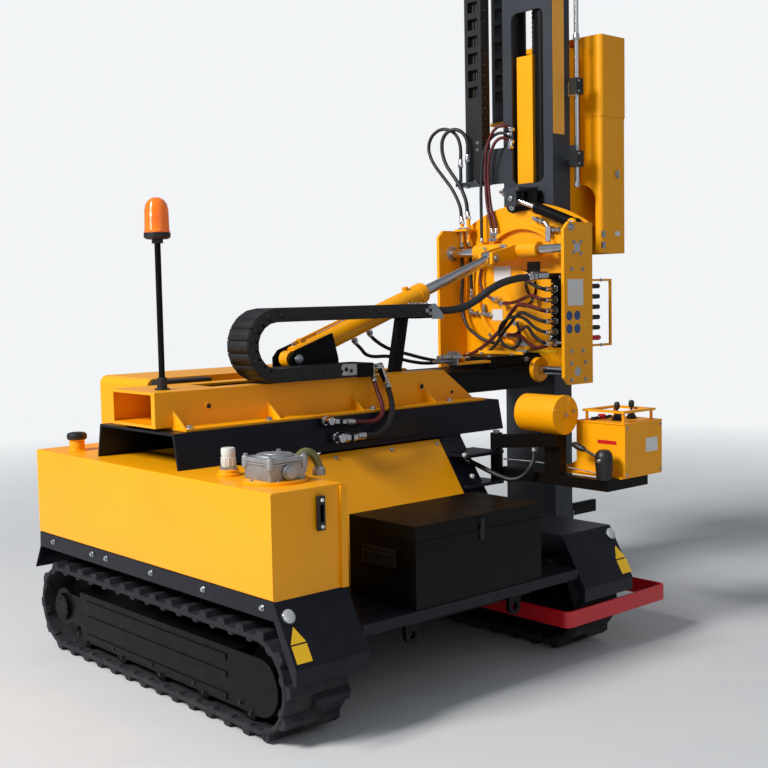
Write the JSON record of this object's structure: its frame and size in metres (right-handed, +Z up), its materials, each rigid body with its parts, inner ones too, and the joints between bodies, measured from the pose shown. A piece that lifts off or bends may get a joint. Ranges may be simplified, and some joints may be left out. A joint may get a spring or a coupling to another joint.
{
  "type": "crawler pile driver rig",
  "caption": "Tracked pile driver rig with a sliding side mast, hydraulic hammer, tilt and side shift carriage, oil tank, toolbox and swing-out console.",
  "frame": {"origin": "on the ground, at the middle of the machine's footprint box, mast included", "axes": "+X from the oil tank to the mast, +Y from the front platform to the rear, +Z up"},
  "size_m": [3.134, 2.043, 4.0347],
  "materials": {
    "yellow_paint": "gloss machine enamel",
    "blue_black_paint": "satin enamel",
    "black_paint": "satin enamel",
    "mast_paint": "satin grey enamel",
    "red_paint": "gloss enamel",
    "track_rubber": "worn moulded rubber",
    "chain_plastic": "moulded nylon",
    "black_plastic": "moulded plastic",
    "cast_aluminium": "die cast",
    "chrome_rod": "hard chrome, ground",
    "cast_steel": "painted casting",
    "hose_rubber": "smooth hose cover",
    "amber_lens": "clear amber dome"
  },
  "bodies": {
    "root": {"track_left": "track_rubber", "track_right": "track_rubber", "track_frame_left": "black_paint", "track_frame_right": "black_paint", "running_gear_left": "cast_steel", "running_gear_right": "cast_steel", "chassis_frame": "black_paint", "platform": "black_paint", "fender_left": "blue_black_paint", "fender_right": "blue_black_paint", "oil_tank": "yellow_paint", "filler_neck": "black_plastic", "return_filter": "cast_aluminium", "level_gauge": "black_plastic", "toolbox_body": "black_paint", "front_panel": "yellow_paint", "tower_frame": "blue_black_paint", "saddle": "blue_black_paint", "outer_beam": "yellow_paint", "beacon_pole": "black_paint", "beacon_lamp": "amber_lens", "engine_block": "cast_steel", "rear_grille": "black_paint", "air_box": "black_plastic", "guard_bar": "red_paint", "beam_chain": "chain_plastic", "chain_anchor": "black_paint", "saddle_hose_a": "hose_rubber", "saddle_hose_b": "hose_rubber"},
    "toolbox_lid": {"toolbox_lid": "black_paint"},
    "hood": {"engine_hood": "yellow_paint"},
    "console": {"console_arm": "black_paint", "console_box": "yellow_paint", "console_drum": "yellow_paint", "console_hose": "hose_rubber"},
    "beam": {"inner_beam": "black_paint", "tilt_bracket": "black_paint", "chain_arm": "black_paint", "carriage_hose": "hose_rubber"},
    "tilt_barrel": {"tilt_barrel": "yellow_paint"},
    "tilt_rod": {"tilt_rod": "chrome_rod"},
    "tilt_head": {"tilt_sleeve": "yellow_paint"},
    "carriage": {"carriage_frame": "yellow_paint", "guide_shafts": "chrome_rod", "valve_bank": "black_paint", "valve_levers": "black_plastic", "mast_hose_a": "hose_rubber", "mast_hose_b": "hose_rubber"},
    "swing_barrel": {"swing_barrel": "black_paint"},
    "swing_rod": {"swing_rod": "chrome_rod"},
    "mast": {"swing_plate": "black_paint", "mast_column": "mast_paint", "mast_cylinder": "black_paint", "pile_guide": "black_paint", "trip_tube": "chrome_rod", "mast_chain": "chain_plastic", "feed_hose": "hose_rubber"},
    "hammer": {"hammer_housing": "yellow_paint", "hammer_slide": "yellow_paint", "drive_cap": "cast_steel"}
  },
  "joints": [
    {"name": "lid_hinge", "type": "hinge", "parent": "root", "child": "toolbox_lid", "pos_m": [-0.949, -0.5745, 0.668], "axis": [-1, 0, 0], "range_deg": [0, 95]},
    {"name": "hood_hinge", "type": "hinge", "parent": "root", "child": "hood", "pos_m": [-0.601, 0.51, 1.236], "axis": [1, 0, 0], "range_deg": [0, 60]},
    {"name": "console_swing", "type": "hinge", "parent": "root", "child": "console", "pos_m": [0.229, -0.3115, 0.74], "axis": [0, 0, 1], "range_deg": [-30, 40], "deforming": ["console_hose"]},
    {"name": "beam_slide", "type": "slide", "parent": "root", "child": "beam", "axis": [1, 0, 0], "range_m": [-0.35, 0.3], "deforming": ["beam_chain"]},
    {"name": "mast_tilt", "type": "hinge", "parent": "beam", "child": "tilt_head", "pos_m": [0.899, 0.1725, 1.204], "axis": [0, 1, 0], "range_deg": [-8, 10], "deforming": ["carriage_hose"]},
    {"name": "side_shift", "type": "slide", "parent": "tilt_head", "child": "carriage", "axis": [0, 1, 0], "range_m": [-0.19, 0.19]},
    {"name": "mast_swing", "type": "hinge", "parent": "carriage", "child": "mast", "pos_m": [1.024, 0.1925, 1.65], "axis": [1, 0, 0], "range_deg": [-8, 8], "deforming": ["mast_hose_a", "mast_hose_b", "feed_hose"]},
    {"name": "hammer_feed", "type": "slide", "parent": "mast", "child": "hammer", "axis": [0, 0, 1], "range_m": [-1.15, 0.6], "deforming": ["mast_chain"]},
    {"name": "tilt_foot", "type": "hinge", "parent": "beam", "child": "tilt_barrel", "pos_m": [-0.664, 0.1725, 1.337], "axis": [0, 1, 0], "range_deg": [-0.397, 0.4404]},
    {"name": "tilt_stroke", "type": "slide", "parent": "tilt_barrel", "child": "tilt_rod", "axis": [0.9457, 0, 0.3251], "range_m": [-0.1025, 0.1246]},
    {"name": "swing_foot", "type": "hinge", "parent": "carriage", "child": "swing_barrel", "pos_m": [0.959, -0.2175, 1.985], "axis": [1, 0, 0], "range_deg": [-3.92, 3.92]},
    {"name": "swing_stroke", "type": "slide", "parent": "swing_barrel", "child": "swing_rod", "axis": [0, 0.9361, 0.3516], "range_m": [-0.0736, 0.0736]}
  ],
  "couplings": [
    {"joint": "tilt_foot", "follows": "mast_tilt", "ratio": 0.0217},
    {"joint": "tilt_stroke", "follows": "mast_tilt", "m_per_rad": 0.63388},
    {"joint": "swing_foot", "follows": "mast_swing", "ratio": 0.41538},
    {"joint": "swing_stroke", "follows": "mast_swing", "m_per_rad": -0.45777}
  ]
}
